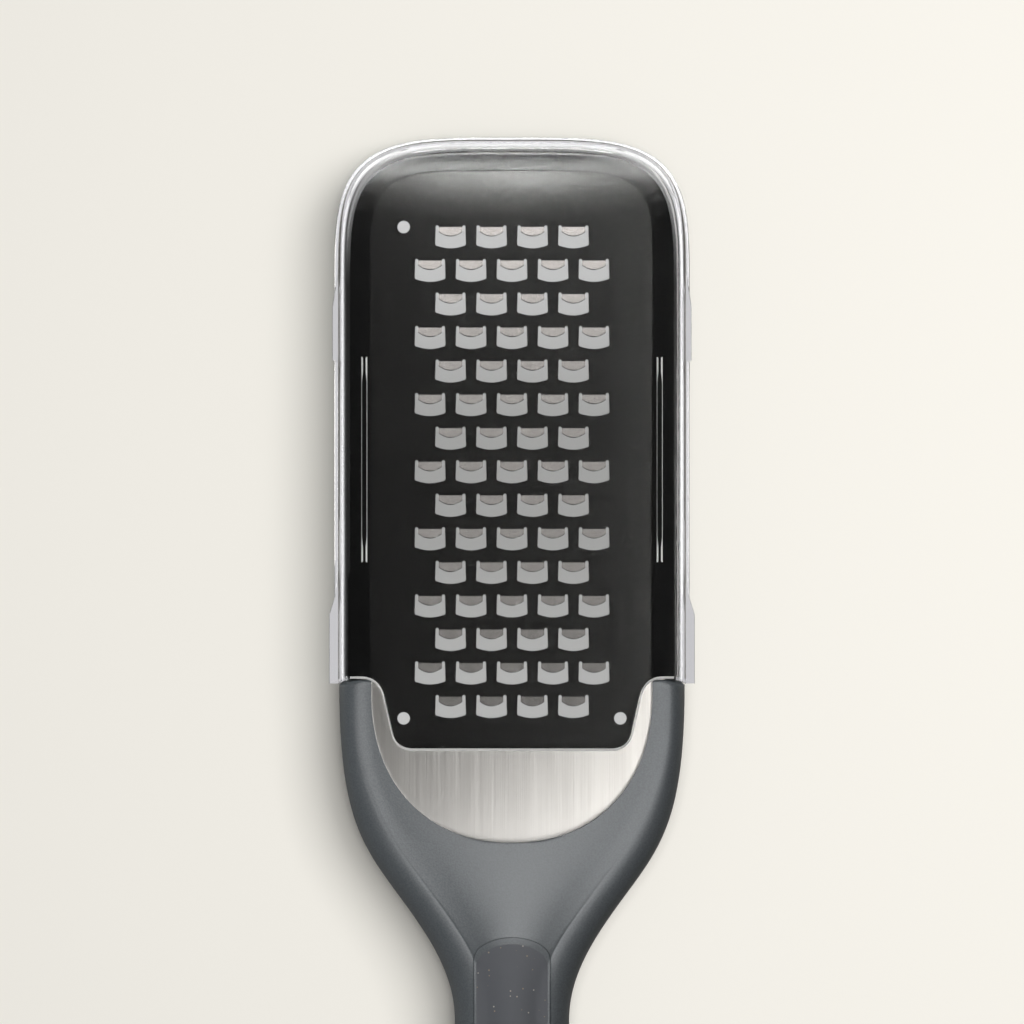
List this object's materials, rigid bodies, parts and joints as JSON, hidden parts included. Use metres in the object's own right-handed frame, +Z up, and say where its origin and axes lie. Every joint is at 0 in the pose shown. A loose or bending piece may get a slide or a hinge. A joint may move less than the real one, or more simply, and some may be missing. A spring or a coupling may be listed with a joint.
{
  "type": "coarse hand grater",
  "caption": "Paddle-shaped hand grater with a dark etched steel blade, a slate plastic handle with a soft thumb inlay, and a clear cover that slides off the tip.",
  "frame": {"origin": "on the table under the middle of the whole tool, lying on its back with the cover on", "axes": "+X across the blade, +Y along the tool towards the tip of the blade, +Z up out of the toothed face"},
  "size_m": [0.0802, 0.315, 0.0194],
  "materials": {
    "coated_steel": "black non-stick coat over the toothed field, bare brushed steel at the handle end",
    "black_plastic": "gloss moulded",
    "foot_rubber": "matt non-slip",
    "slate_plastic": "fine moulded grain",
    "soft_grey": "soft-touch inlay with fine specks",
    "clear_plastic": "clear moulded"
  },
  "bodies": {
    "grater": {"blade": "coated_steel", "blade_rim": "black_plastic", "tip_foot_left": "foot_rubber", "tip_foot_right": "foot_rubber", "handle_front": "slate_plastic", "handle_back": "slate_plastic", "thumb_pad": "soft_grey"},
    "cover": {"cover": "clear_plastic"}
  },
  "joints": [
    {"name": "cover_slide", "type": "slide", "parent": "grater", "child": "cover", "axis": [0, 1, 0], "range_m": [0, 0.14]}
  ]
}
